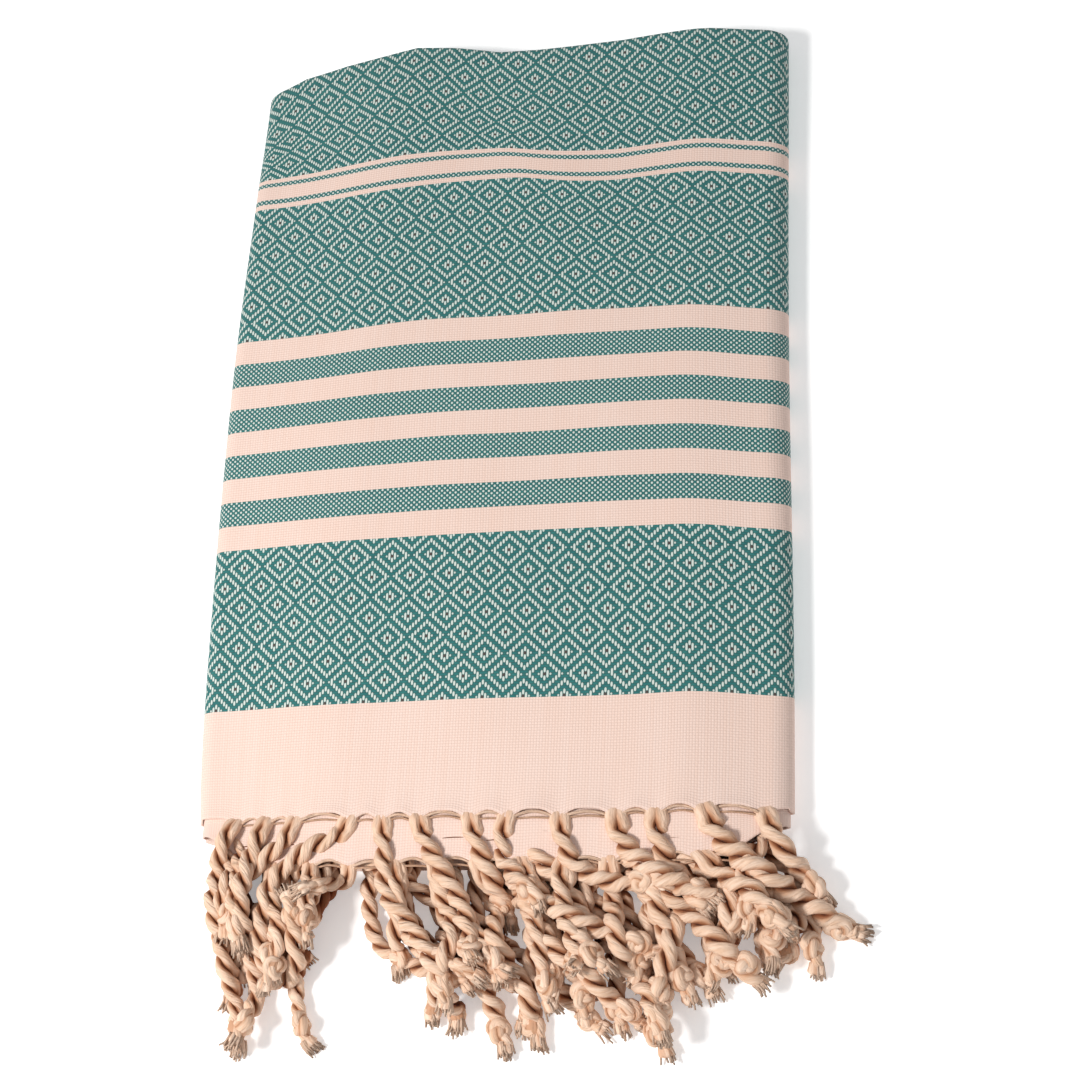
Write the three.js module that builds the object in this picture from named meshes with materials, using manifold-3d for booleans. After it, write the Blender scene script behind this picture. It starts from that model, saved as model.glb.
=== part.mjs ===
// A flat-woven cotton bath towel (hammam towel), folded in four along its length and then in three
// across, with the knotted fringe of both its ends lying in layers in front of it.
// Millimetres, +Z up. The towel lies on z = 0 and its fringe points to -Y.
import * as THREE from 'three';
import { mergeVertices } from 'three/addons/utils/BufferGeometryUtils.js';
import Module from 'manifold-3d';

// The cloth as it was cut, and how it is folded.
const CLOTH_WIDTH = 700;
const CLOTH_LENGTH = 1400;
const PANELS_ACROSS = 3;
const PLIES_ALONG = 4;
const PLY_PITCH = 1.5; // one ply with the air between it and the next
const BUNDLE_GAP = 0.4; // between two bundles of four plies
const HEM_STEP = 17; // how far the second end lies beyond the first
const LIP_THICKNESS = 1.2;

// The fringe: twisted cords, each with a knot near its end.
const CORDS_PER_PANEL = 13;
const CORD_DIAMETER = 6.6;
const KNOT_DIAMETER = 11.4;
const CORD_LENGTH = 100;
const KNOT_FROM_TIP = 15;
const KNOT_NECK = 6; // from the knot's middle to where the cord is its own size again
const HEADER_WIDTH = 2;
const HEADER_HEIGHT = 3;
const ROOT_THICKNESS = 2.4; // of a cord at the upper hems, before it is its full size
const SETTLE_LENGTH = 14; // from where a cord is flat or pressed to where it is round

const CLEARANCE = 0.4; // between cords that lie on each other
const CONTACT = 0.3; // between a cord's root and the cloth that it grows from
const FLOOR_GAP = 0.1;

// How the fringe is swept to the right, in degrees, and the share of the width where the gap
// between the straight cords and the swept ones lies.
const GAP_SHARE = -0.28;
const LEFT_SWEEP = 2;
const RIGHT_SWEEP_START = 16;
const RIGHT_SWEEP_GROWTH = 58;
const LOWER_SWEEP = 0.55; // the two lower rows' share of the sweep
const TURN_LENGTH = 25;

const CORD_SIDES = 8;
const LOWER_CORD_SIDES = 6;
const CORD_STEPS = 7;
const KNOT_CORNER = CORD_STEPS + 1;
const FOLD_SEGMENTS = 10;

const panelWidth = CLOTH_WIDTH / PANELS_ACROSS;
const panelLength = CLOTH_LENGTH / PLIES_ALONG;
const bundle = PLIES_ALONG * PLY_PITCH - BUNDLE_GAP;
const level = bundle + BUNDLE_GAP;
const stackHeight = PANELS_ACROSS * level - BUNDLE_GAP;
const cordRadius = CORD_DIAMETER / 2;
const knotRadius = KNOT_DIAMETER / 2;
const nearEdge = -panelLength / 2;
const farEdge = panelLength / 2;
const lipEdge = nearEdge - HEM_STEP;
const lipTop = stackHeight - PLY_PITCH - (PLY_PITCH - LIP_THICKNESS) / 2;
const outerFoldRadius = stackHeight / 2;
const rightFoldX = panelWidth / 2 - outerFoldRadius;
const leftFoldRadius = (bundle + level) / 2;
const leftFoldX = -panelWidth / 2 + leftFoldRadius;

const wasm = await Module();
wasm.setup();

function toSolid(geometry) {
  const bare = geometry.clone();
  bare.deleteAttribute('normal');
  bare.deleteAttribute('uv');
  const merged = mergeVertices(bare, 1e-4);
  const mesh = new wasm.Mesh({
    numProp: 3,
    vertProperties: new Float32Array(merged.attributes.position.array),
    triVerts: new Uint32Array(merged.index.array),
  });
  return new wasm.Manifold(mesh);
}

function toGeometry(solid) {
  const mesh = solid.getMesh();
  const geometry = new THREE.BufferGeometry();
  geometry.setAttribute('position', new THREE.BufferAttribute(mesh.vertProperties, 3));
  geometry.setIndex(new THREE.BufferAttribute(mesh.triVerts, 1));
  geometry.computeVertexNormals();
  return geometry;
}

function boxBetween(low, high) {
  const size = high.clone().sub(low);
  const box = new THREE.BoxGeometry(size.x, size.y, size.z);
  const middle = low.clone().add(high).multiplyScalar(0.5);
  return box.translate(middle.x, middle.y, middle.z);
}

// ---- Cloth -----------------------------------------------------------------------------------

// The bundle seen from the fringe: the bottom third runs right, turns up round the outer fold,
// runs back left as the top third, turns down and ends as the middle third inside.
function foldOutline() {
  const midPanel = level;
  const topPanel = 2 * level;
  const leftFoldZ = (midPanel + stackHeight) / 2;
  const innerFoldRadius = (topPanel - bundle) / 2;
  const outline = new THREE.Shape();
  outline.moveTo(-panelWidth / 2 + BUNDLE_GAP, 0);
  outline.lineTo(rightFoldX, 0);
  outline.absarc(rightFoldX, stackHeight / 2, outerFoldRadius, -Math.PI / 2, Math.PI / 2, false);
  outline.lineTo(leftFoldX, stackHeight);
  outline.absarc(leftFoldX, leftFoldZ, leftFoldRadius, Math.PI / 2, 1.5 * Math.PI, false);
  outline.lineTo(rightFoldX, midPanel);
  outline.lineTo(rightFoldX, midPanel + bundle);
  outline.lineTo(leftFoldX, midPanel + bundle);
  outline.absarc(leftFoldX, leftFoldZ, BUNDLE_GAP / 2, 1.5 * Math.PI, Math.PI / 2, true);
  outline.lineTo(rightFoldX, topPanel);
  outline.absarc(rightFoldX, stackHeight / 2, innerFoldRadius, Math.PI / 2, -Math.PI / 2, true);
  outline.lineTo(-panelWidth / 2 + BUNDLE_GAP, bundle);
  outline.closePath();
  return outline;
}

function clothSolid() {
  const stack = new THREE.ExtrudeGeometry(foldOutline(), {
    depth: panelLength,
    bevelEnabled: false,
    curveSegments: FOLD_SEGMENTS,
  });
  stack.rotateX(Math.PI / 2).translate(0, farEdge, 0);
  const rooted = nearEdge + HEM_STEP;
  const low = new THREE.Vector3(leftFoldX, lipEdge, lipTop - LIP_THICKNESS);
  const high = new THREE.Vector3(rightFoldX, rooted, lipTop);
  return toGeometry(toSolid(stack).add(toSolid(boxBetween(low, high))));
}

// ---- Fringe ----------------------------------------------------------------------------------

// Each row of cords lies as one layer on the row below it. The second row's knots lie on the lower
// row, and the top row lies on those knots.
const layer = CORD_DIAMETER + CLEARANCE;
const knotRise = cordRadius + knotRadius + CLEARANCE;
const bottomHeight = cordRadius + FLOOR_GAP;
const lowerHeight = bottomHeight + layer;
const secondHeight = lowerHeight + layer;
const secondKnotHeight = lowerHeight + knotRise;
const topHeight = secondKnotHeight + knotRise;

// The two lower rows share the height under the lip, which presses them flat where it is too low.
const lipBottom = lipTop - LIP_THICKNESS;
const roomUnderLip = lipBottom - CONTACT - CLEARANCE - FLOOR_GAP;
const pressedRadius = Math.min(cordRadius, roomUnderLip / 4);
const rootRadius = ROOT_THICKNESS / 2;

// Distances from the root to the corners of a cord's line. A plain cord has only its steps. On a
// knotted one the knot's neck, the knot, the neck after it and the tip of the tuft follow.
function stations(row) {
  const knot = CORD_LENGTH - KNOT_FROM_TIP;
  const end = row.knotted ? knot - KNOT_NECK : CORD_LENGTH;
  const steps = Array.from({ length: CORD_STEPS + 1 }, (_, i) => (end * i) / CORD_STEPS);
  return row.knotted ? [...steps, knot, knot + KNOT_NECK, CORD_LENGTH] : steps;
}

// Which way the fringe is swept, in degrees to the right of -Y: nearly straight at the left, more
// and more to the right from there.
function sweep(x) {
  const share = x / panelWidth;
  return share < GAP_SHARE ? LEFT_SWEEP : RIGHT_SWEEP_START + RIGHT_SWEEP_GROWTH * (share - GAP_SHARE);
}

// The heading, in radians, at which parallel cords that leave the hem at this pitch still fit beside
// each other.
function steepestHeading(pitch) {
  return Math.acos(Math.min((CORD_DIAMETER + CLEARANCE) / pitch, 1));
}

// How far a cord has gone from its height and thickness at the hem to those of its row, 0 to 1.
function settledShare(row, y) {
  return THREE.MathUtils.smoothstep(row.settleEdge - y, 0, SETTLE_LENGTH);
}

// The corners of one cord's line. It leaves the hem straight and then turns to its heading.
function cordLine(row, x) {
  const places = stations(row);
  const corners = [new THREE.Vector3(x, row.edge - CONTACT, row.rootHeight)];
  for (let i = 1; i < places.length; i += 1) {
    const middle = (places[i] + places[i - 1]) / 2;
    const turned = THREE.MathUtils.smoothstep(middle, row.straight, row.straight + TURN_LENGTH);
    const heading = Math.min(row.swept * THREE.MathUtils.degToRad(sweep(x)), row.steepest);
    const angle = heading * turned;
    const forward = new THREE.Vector3(Math.sin(angle), -Math.cos(angle), 0);
    const corner = corners[i - 1].clone().addScaledVector(forward, places[i] - places[i - 1]);
    corner.z = THREE.MathUtils.lerp(row.rootHeight, row.height, settledShare(row, corner.y));
    if (row.knotted && i >= CORD_STEPS) {
      corner.z = row.knotHeight;
    }
    corners.push(corner);
  }
  return corners;
}

// One closed body along the corners: a tube that is flat at its root and swells at its knot.
function cordGeometry(row, x) {
  const corners = cordLine(row, x);
  const last = corners.length - 1;
  const positions = [];
  corners.forEach((corner, i) => {
    const before = corners[Math.max(i - 1, 0)];
    const after = corners[Math.min(i + 1, last)];
    const tangent = after.clone().sub(before).normalize();
    const side = new THREE.Vector3(-tangent.y, tangent.x, 0).normalize();
    const up = tangent.clone().cross(side).normalize();
    const radius = i === KNOT_CORNER ? knotRadius : cordRadius;
    const upRadius = THREE.MathUtils.lerp(row.rootRadius, radius, settledShare(row, corner.y));
    for (let k = 0; k < row.sides; k += 1) {
      const angle = (2 * Math.PI * k) / row.sides;
      const point = corner.clone();
      point.addScaledVector(side, radius * Math.cos(angle));
      point.addScaledVector(up, upRadius * Math.sin(angle));
      positions.push(point.x, Math.min(point.y, corners[0].y), point.z);
    }
  });
  const root = positions.length / 3;
  positions.push(...corners[0].toArray(), ...corners[last].toArray());
  const tip = root + 1;
  const faces = [];
  for (let k = 0; k < row.sides; k += 1) {
    const next = (k + 1) % row.sides;
    for (let ring = 0; ring < last; ring += 1) {
      const a = ring * row.sides + k;
      const b = ring * row.sides + next;
      faces.push(a, b, b + row.sides, a, b + row.sides, a + row.sides);
    }
    faces.push(root, next, k, tip, last * row.sides + k, last * row.sides + next);
  }
  const geometry = new THREE.BufferGeometry();
  geometry.setAttribute('position', new THREE.Float32BufferAttribute(positions, 3));
  geometry.setIndex(faces);
  geometry.computeVertexNormals();
  return geometry;
}

// The hems of the middle and the bottom panel: the cords of both ends of the cloth lie side by
// side in each row. The bottom row grows from a header that stands in front of the hem.
const lowerWidth = panelWidth - 2 * outerFoldRadius + CORD_DIAMETER;
const lowerPitch = lowerWidth / (2 * CORDS_PER_PANEL);
const lowerRow = {
  count: 2 * CORDS_PER_PANEL,
  left: -lowerWidth / 2,
  width: lowerWidth,
  edge: nearEdge,
  settleEdge: lipEdge,
  rootHeight: lipBottom - CONTACT - pressedRadius,
  rootRadius: pressedRadius,
  height: lowerHeight,
  straight: HEM_STEP,
  swept: LOWER_SWEEP,
  steepest: steepestHeading(lowerPitch),
  knotted: false,
  sides: LOWER_CORD_SIDES,
};
const bottomRow = {
  ...lowerRow,
  edge: nearEdge - HEADER_WIDTH,
  rootHeight: FLOOR_GAP + pressedRadius,
  height: bottomHeight,
};

// The top panel's hems: one row of cords for each end of the cloth. The top row's cords lie
// between the second row's.
const upperWidth = rightFoldX - leftFoldX;
const upperPitch = upperWidth / CORDS_PER_PANEL;
const secondRow = {
  count: CORDS_PER_PANEL,
  left: leftFoldX,
  width: upperWidth,
  edge: lipEdge,
  settleEdge: lipEdge,
  rootHeight: lipBottom + rootRadius,
  rootRadius,
  height: secondHeight,
  knotHeight: secondKnotHeight,
  straight: CORD_DIAMETER,
  swept: 1,
  steepest: steepestHeading(upperPitch),
  knotted: true,
  sides: CORD_SIDES,
};
const topRow = {
  ...secondRow,
  left: leftFoldX - upperPitch / 2,
  edge: nearEdge,
  settleEdge: nearEdge,
  rootHeight: lipTop + CONTACT + rootRadius,
  height: topHeight,
  knotHeight: topHeight,
  straight: HEM_STEP + CORD_DIAMETER,
};

function rootsOf(row) {
  const pitch = row.width / row.count;
  return Array.from({ length: row.count }, (_, i) => row.left + (i + 0.5) * pitch);
}

// ---- Assembly --------------------------------------------------------------------------------

const clothMaterial = new THREE.MeshStandardMaterial({
  name: 'cotton_cloth',
  color: 0x9fb8ab,
  roughness: 0.92,
  metalness: 0,
});
const cordMaterial = new THREE.MeshStandardMaterial({
  name: 'cotton_cord',
  color: 0xe6c9a8,
  roughness: 0.95,
  metalness: 0,
});

const towel = new THREE.Group();

function addPiece(name, geometry, material) {
  const mesh = new THREE.Mesh(geometry, material.clone());
  mesh.name = name;
  towel.add(mesh);
}

function addRow(name, row) {
  rootsOf(row).forEach((x, i) => {
    const number = String(i + 1).padStart(2, '0');
    addPiece(`${name}_${number}`, cordGeometry(row, x), cordMaterial);
  });
}

// The bottom row's cords are joined by the twined header that they grow from.
function bottomFringe() {
  const low = new THREE.Vector3(-lowerWidth / 2, nearEdge - 2 * HEADER_WIDTH, FLOOR_GAP);
  const high = new THREE.Vector3(lowerWidth / 2, nearEdge - CONTACT, FLOOR_GAP + HEADER_HEIGHT);
  const header = toSolid(boxBetween(low, high));
  const cords = rootsOf(bottomRow).map((x) => toSolid(cordGeometry(bottomRow, x)));
  return toGeometry(cords.reduce((joined, cord) => joined.add(cord), header));
}

addPiece('cloth', clothSolid(), clothMaterial);
addRow('fringe_top_cord', topRow);
addRow('fringe_second_cord', secondRow);
addRow('fringe_lower_cord', lowerRow);
addPiece('fringe_bottom', bottomFringe(), cordMaterial);

// The origin is the middle of the whole towel's footprint.
const middle = new THREE.Box3().setFromObject(towel).getCenter(new THREE.Vector3());
towel.position.set(-middle.x, -middle.y, 0);

export default towel;
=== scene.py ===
import math

import bpy
import numpy as np
from mathutils import Matrix, Vector


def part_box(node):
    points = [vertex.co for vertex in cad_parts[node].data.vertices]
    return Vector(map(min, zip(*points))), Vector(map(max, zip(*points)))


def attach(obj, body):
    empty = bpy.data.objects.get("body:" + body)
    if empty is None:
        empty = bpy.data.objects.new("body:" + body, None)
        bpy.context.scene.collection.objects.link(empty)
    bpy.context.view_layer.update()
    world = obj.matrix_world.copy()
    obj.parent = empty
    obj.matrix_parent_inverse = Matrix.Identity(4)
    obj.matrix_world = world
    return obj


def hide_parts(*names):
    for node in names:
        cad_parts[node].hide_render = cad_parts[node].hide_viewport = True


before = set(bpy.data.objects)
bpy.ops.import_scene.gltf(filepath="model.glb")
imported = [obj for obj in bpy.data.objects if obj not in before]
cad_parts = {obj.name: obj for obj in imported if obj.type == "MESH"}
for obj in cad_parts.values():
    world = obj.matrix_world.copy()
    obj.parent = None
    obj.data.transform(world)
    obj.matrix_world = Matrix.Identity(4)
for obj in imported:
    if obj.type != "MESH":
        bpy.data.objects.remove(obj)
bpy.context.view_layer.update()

MM = 0.001

# ---- Sizes, from the cloth part and the towel's own dimensions ---------------------------------

HEM_STEP = 17.0  # how far the second end lies beyond the first
PLY_PITCH = 1.5
BUNDLE_GAP = 0.4
THICKNESS = 0.8
PLIES = 4
FLOOR_GAP = 0.1
LIP_GAP = 1.0  # how far the top hem stands clear of the ply below it

low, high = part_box("cloth")
panel_width = (high.x - low.x) / MM
panel_length = (high.y - low.y) / MM - HEM_STEP
stack = high.z / MM
half_width = panel_width / 2
middle = Vector(((low.x + high.x) / 2, low.y + HEM_STEP * MM, 0))

bundle = PLIES * PLY_PITCH - BUNDLE_GAP
level = bundle + BUNDLE_GAP
outer_radius = stack / 2
left_radius = (bundle + level) / 2
right_fold_x = half_width - outer_radius
left_fold_x = left_radius - half_width

# The weave: threads across (ends) and along (picks) the cloth, and its bands in picks from the hem.
END_PITCH = panel_width / 207
PICK_PITCH = 1.195  # from the same fit as the camera
DIAMOND = 14
END_BAND = 37
STRIPES_FROM = END_BAND + 4 * DIAMOND
STRIPE = 9
STRIPES_TO = STRIPES_FROM + 9 * STRIPE
NARROW_FROM = STRIPES_TO + 4 * DIAMOND
NARROW_TO = NARROW_FROM + 14
DIAMOND_ENDS = 14  # the threads of one diamond across and along the towel
DIAMOND_PICKS = 16
PLAIN_CROWDING = 10 / 9  # the stripes' picks lie closer
COLUMN_PHASE = 3.0

# The cords.
CORD_RADIUS = 3.6
TWIST_PITCH = (16.5, 21.0)
TWIST_HAND = -1
STEP = 0.9  # between two rings of a cord
STRAND_SIDES = 10
GATHER = 9.0  # the stretch at the root where the strands come together
GATHER_HALF_WIDTH = 1.15
ROOT_DEPTH = 2.5  # how far inside the hem a cord begins
ATTACHED = 40.0  # how far a cord's plan follows its root where the soft towel moves it


def place(points):
    """Towel millimetres to metres in the row frame."""
    return np.asarray(points, float) * MM + np.array(middle)


def smoothstep(value):
    t = np.clip(value, 0.0, 1.0)
    return t * t * (3 - 2 * t)


# ---- Camera, floor and light -------------------------------------------------------------------

# A least-squares fit to edges and bands read from the photograph, in which the far edge was held
# at the panel's length and the spacing of the picks was free.
CAMERA_PLACE = (179.8, -210.5, 728.5)
CAMERA_AZIMUTH = 26.73
CAMERA_ELEVATION = 63.44
CAMERA_ROLL = -26.75
CAMERA_LENS = 67.84


def camera_axes():
    """The camera's right, up and backward directions."""
    azimuth = math.radians(CAMERA_AZIMUTH)
    elevation = math.radians(CAMERA_ELEVATION)
    roll = math.radians(CAMERA_ROLL)
    back = Vector((
        math.sin(azimuth) * math.cos(elevation),
        -math.cos(azimuth) * math.cos(elevation),
        math.sin(elevation),
    ))
    level_right = Vector((0, 0, 1)).cross(back).normalized()
    level_up = back.cross(level_right)
    right = level_right * math.cos(roll) + level_up * math.sin(roll)
    up = level_up * math.cos(roll) - level_right * math.sin(roll)
    return right, up, back


def add_camera():
    data = bpy.data.cameras.new("camera")
    data.lens = CAMERA_LENS
    data.sensor_width = 36
    data.clip_start = 0.01
    camera = bpy.data.objects.new("camera", data)
    right, up, back = camera_axes()
    place_in_frame = Vector(CAMERA_PLACE) * MM + middle
    rows = [(right[i], up[i], back[i], place_in_frame[i]) for i in range(3)]
    camera.matrix_world = Matrix((*rows, (0, 0, 0, 1)))
    bpy.context.scene.collection.objects.link(camera)
    bpy.context.scene.camera = camera


def add_light(name, at, size, power, colour):
    data = bpy.data.lights.new(name, "AREA")
    data.shape = "DISK"
    data.size = size
    data.energy = power
    data.color = colour
    light = bpy.data.objects.new(name, data)
    light.location = Vector(at)
    aim = middle + Vector((0, 0.1, 0)) - light.location
    light.rotation_euler = aim.to_track_quat("-Z", "Y").to_euler()
    bpy.context.scene.collection.objects.link(light)


FLOOR_GLOW = 0.3  # keeps the floor white to the edges of the picture
FLOOR_REACH = 6.0
FLOOR_COLOUR = (0.98, 0.98, 0.98, 1)
WORLD_COLOUR = (0.97, 0.98, 1.0, 1)
WORLD_STRENGTH = 0.38


def add_floor():
    mesh = bpy.data.meshes.new("floor")
    corners = [(x * FLOOR_REACH, y * FLOOR_REACH, 0) for x, y in ((-1, -1), (1, -1), (1, 1), (-1, 1))]
    mesh.from_pydata(corners, [], [(0, 1, 2, 3)])
    floor = bpy.data.objects.new("floor", mesh)
    material = bpy.data.materials.new("floor")
    material.use_nodes = True
    shader = material.node_tree.nodes["Principled BSDF"]
    shader.inputs["Base Color"].default_value = FLOOR_COLOUR
    shader.inputs["Roughness"].default_value = 0.9
    shader.inputs["Emission Color"].default_value = (1, 1, 1, 1)
    shader.inputs["Emission Strength"].default_value = FLOOR_GLOW
    mesh.materials.append(material)
    bpy.context.scene.collection.objects.link(floor)


def add_world():
    world = bpy.data.worlds.new("studio")
    bpy.context.scene.world = world
    world.use_nodes = True
    background = world.node_tree.nodes["Background"]
    background.inputs["Color"].default_value = WORLD_COLOUR
    background.inputs["Strength"].default_value = WORLD_STRENGTH


add_camera()
add_floor()
add_world()
add_light("key", (-0.62, -0.42, 0.9), 0.26, 12.5, (1.0, 0.985, 0.965))
add_light("fill", (0.9, -0.6, 1.2), 1.2, 2.5, (1.0, 0.98, 0.96))
bpy.context.scene.view_settings.view_transform = "Standard"


# ---- Node helpers ------------------------------------------------------------------------------

class Nodes:
    """Short calls for building a material's node tree."""

    def __init__(self, name):
        self.material = bpy.data.materials.new(name)
        self.material.use_nodes = True
        self.tree = self.material.node_tree
        self.shader = self.tree.nodes["Principled BSDF"]

    def node(self, kind, **settings):
        made = self.tree.nodes.new(kind)
        for key, value in settings.items():
            setattr(made, key, value)
        return made

    def feed(self, socket, value):
        if isinstance(value, bpy.types.NodeSocket):
            self.tree.links.new(value, socket)
        else:
            socket.default_value = value

    def math(self, operation, *values):
        made = self.node("ShaderNodeMath", operation=operation)
        for socket, value in zip(made.inputs, values):
            self.feed(socket, value)
        return made.outputs[0]

    def mix(self, share, first, second):
        made = self.node("ShaderNodeMix", data_type="RGBA")
        self.feed(made.inputs["Factor"], share)
        self.feed(made.inputs["A"], first)
        self.feed(made.inputs["B"], second)
        return made.outputs["Result"]

    def choose(self, share, first, second):
        """A number that goes from first to second as share goes from 0 to 1."""
        made = self.node("ShaderNodeMix", data_type="FLOAT")
        self.feed(made.inputs["Factor"], share)
        self.feed(made.inputs["A"], first)
        self.feed(made.inputs["B"], second)
        return made.outputs["Result"]

    def between(self, value, start, end):
        """1 where a whole number is from start to just under end."""
        above = self.math("GREATER_THAN", value, start - 0.5)
        return self.math("MULTIPLY", above, self.math("LESS_THAN", value, end - 0.5))

    def ramp(self, value, start, end):
        """0 up to start and 1 from end on, with a straight rise between them."""
        made = self.node("ShaderNodeMapRange")
        made.inputs["From Min"].default_value = start
        made.inputs["From Max"].default_value = end
        self.feed(made.inputs["Value"], value)
        return made.outputs["Result"]

    def noise(self, vector, scale, detail=2.0):
        made = self.node("ShaderNodeTexNoise")
        made.inputs["Scale"].default_value = scale
        made.inputs["Detail"].default_value = detail
        self.feed(made.inputs["Vector"], vector)
        return made.outputs["Fac"]

    def random(self, value):
        made = self.node("ShaderNodeTexWhiteNoise", noise_dimensions="1D")
        self.feed(made.inputs["W"], value)
        return made.outputs["Value"]

    def bump(self, height, distance, strength):
        made = self.node("ShaderNodeBump")
        made.inputs["Distance"].default_value = distance
        made.inputs["Strength"].default_value = strength
        self.feed(made.inputs["Height"], height)
        self.feed(self.shader.inputs["Normal"], made.outputs["Normal"])


CREAM = (0.83, 0.66, 0.59, 1)
CREAM_WARM = (0.81, 0.60, 0.51, 1)
# Painted shade between cream threads.
CREAM_GAP_SHADE = (0.50, 0.27, 0.18, 1)
PALE = (0.53, 0.69, 0.65, 1)
TEAL = (0.010, 0.118, 0.128, 1)
TEAL_LIGHT = (0.04, 0.225, 0.21, 1)
# Painted shade between teal threads.
TEAL_GAP_SHADE = (0.05, 0.03, 0.02, 1)
# Painted shade in the hole at each diamond's middle.
HOLE_SHADE = (0.10, 0.035, 0.03, 1)
WARP_WIDTH = 0.76  # how much of its cell a cream thread covers, across and along
WARP_RUN = 0.92


def cloth_material():
    """Warp and weft threads in their draft: plain bands and stripes, and bands of diamonds."""
    n = Nodes("cotton_cloth")
    weave = n.node("ShaderNodeUVMap", uv_map="weave").outputs[0]
    parts = n.node("ShaderNodeSeparateXYZ")
    n.feed(parts.inputs[0], weave)
    across, along = parts.outputs[0], parts.outputs[1]
    pick = n.math("FLOOR", along)
    in_diamond = n.math("ADD", n.between(pick, END_BAND, STRIPES_FROM),
                        n.between(pick, STRIPES_TO, NARROW_FROM))
    in_diamond = n.math("ADD", in_diamond, n.math("GREATER_THAN", pick, NARROW_TO - 0.5))

    late = n.math("GREATER_THAN", pick, (STRIPES_FROM + STRIPES_TO) / 2)
    shift = n.choose(late, END_BAND, STRIPES_TO)
    diamond_along = n.math("MULTIPLY", n.math("SUBTRACT", along, shift), DIAMOND_PICKS / DIAMOND)
    plain_along = n.math("MULTIPLY", n.math("SUBTRACT", along, STRIPES_FROM), PLAIN_CROWDING)
    thread_along = n.choose(in_diamond, plain_along, diamond_along)
    end = n.math("FLOOR", across)
    weft = n.math("FLOOR", thread_along)
    end_share = n.math("FRACT", across)
    pick_share = n.math("FRACT", thread_along)

    column = n.math("PINGPONG", n.math("ADD", end, COLUMN_PHASE), DIAMOND_ENDS / 2)
    column_line = n.math("PINGPONG", n.math("ADD", across, COLUMN_PHASE - 0.5), DIAMOND_ENDS / 2)
    row = n.math("PINGPONG", weft, DIAMOND_PICKS / 2)
    row_line = n.math("PINGPONG", n.math("SUBTRACT", thread_along, 0.5), DIAMOND_PICKS / 2)

    def from_centre(first, second):
        reach = (DIAMOND_ENDS + DIAMOND_PICKS) / 4
        return n.math("PINGPONG", n.math("ADD", first, second), reach)

    def rings(first, second):
        return n.math("FLOORED_MODULO", from_centre(first, second), 4.0)

    hole = n.math("LESS_THAN", from_centre(column, row), 0.5)
    ring = n.math("ABSOLUTE", n.math("SUBTRACT", rings(column, row), 1.5))
    diamond_up = n.math("LESS_THAN", ring, 1.0)
    diamond_warp = n.math("ABSOLUTE", n.math("SUBTRACT", rings(column, row_line), 1.5))
    weft_ring = n.math("FLOORED_MODULO", n.math("ADD", rings(column_line, row), 2.5), 4.0)
    diamond_weft = n.math("ABSOLUTE", n.math("SUBTRACT", weft_ring, 2.0))

    plain_up = n.math("LESS_THAN", n.math("FLOORED_MODULO", n.math("ADD", end, weft), 2.0), 0.5)

    def from_middle(share):
        return n.math("MULTIPLY", n.math("ABSOLUTE", n.math("SUBTRACT", share, 0.5)), 2.0)

    stripe = n.math("FLOOR", n.math("DIVIDE", n.math("SUBTRACT", pick, STRIPES_FROM - 0.25), STRIPE))
    odd = n.math("GREATER_THAN", n.math("FLOORED_MODULO", stripe, 2.0), 0.5)
    in_stripe = n.math("MULTIPLY", odd, n.between(pick, STRIPES_FROM, STRIPES_TO))
    in_line = n.math("ADD", n.between(pick, NARROW_FROM + 2, NARROW_FROM + 4),
                     n.between(pick, NARROW_FROM + 10, NARROW_FROM + 12))
    teal_weft = n.math("ADD", in_diamond, n.math("ADD", in_stripe, in_line))

    warp_up = n.choose(in_diamond, plain_up, diamond_up)
    warp_run = n.choose(in_diamond, from_middle(pick_share), diamond_warp)
    weft_run = n.choose(in_diamond, from_middle(end_share), diamond_weft)

    def thread(run, side):
        """A thread's height over its float: round across, and dipping at the float's ends."""
        ends = n.math("SUBTRACT", 1.0, n.math("MULTIPLY", n.math("POWER", run, 2.0), 0.85))
        sides = n.math("SUBTRACT", 1.0, n.math("MULTIPLY", n.math("POWER", side, 2.0), 0.9))
        product = n.math("MULTIPLY", ends, sides)
        return n.math("POWER", n.math("MAXIMUM", product, 0.0), 0.5)

    warp_height = thread(warp_run, from_middle(end_share))
    weft_height = n.math("MULTIPLY", thread(weft_run, from_middle(pick_share)), 0.85)
    height = n.choose(warp_up, weft_height, warp_height)
    float_width = n.math("DIVIDE", from_middle(end_share), WARP_WIDTH)
    float_run = n.math("DIVIDE", warp_run, WARP_RUN)
    edge = n.math("ADD", n.math("POWER", float_width, 2.0), n.math("POWER", float_run, 3.0))
    inside = n.math("SMOOTH_MIN", n.math("MAXIMUM", n.math("MULTIPLY", n.math(
        "SUBTRACT", 1.25, edge), 2.2), 0.0), 1.0, 0.05)
    warp_seen = n.math("MULTIPLY", warp_up, inside)

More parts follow.
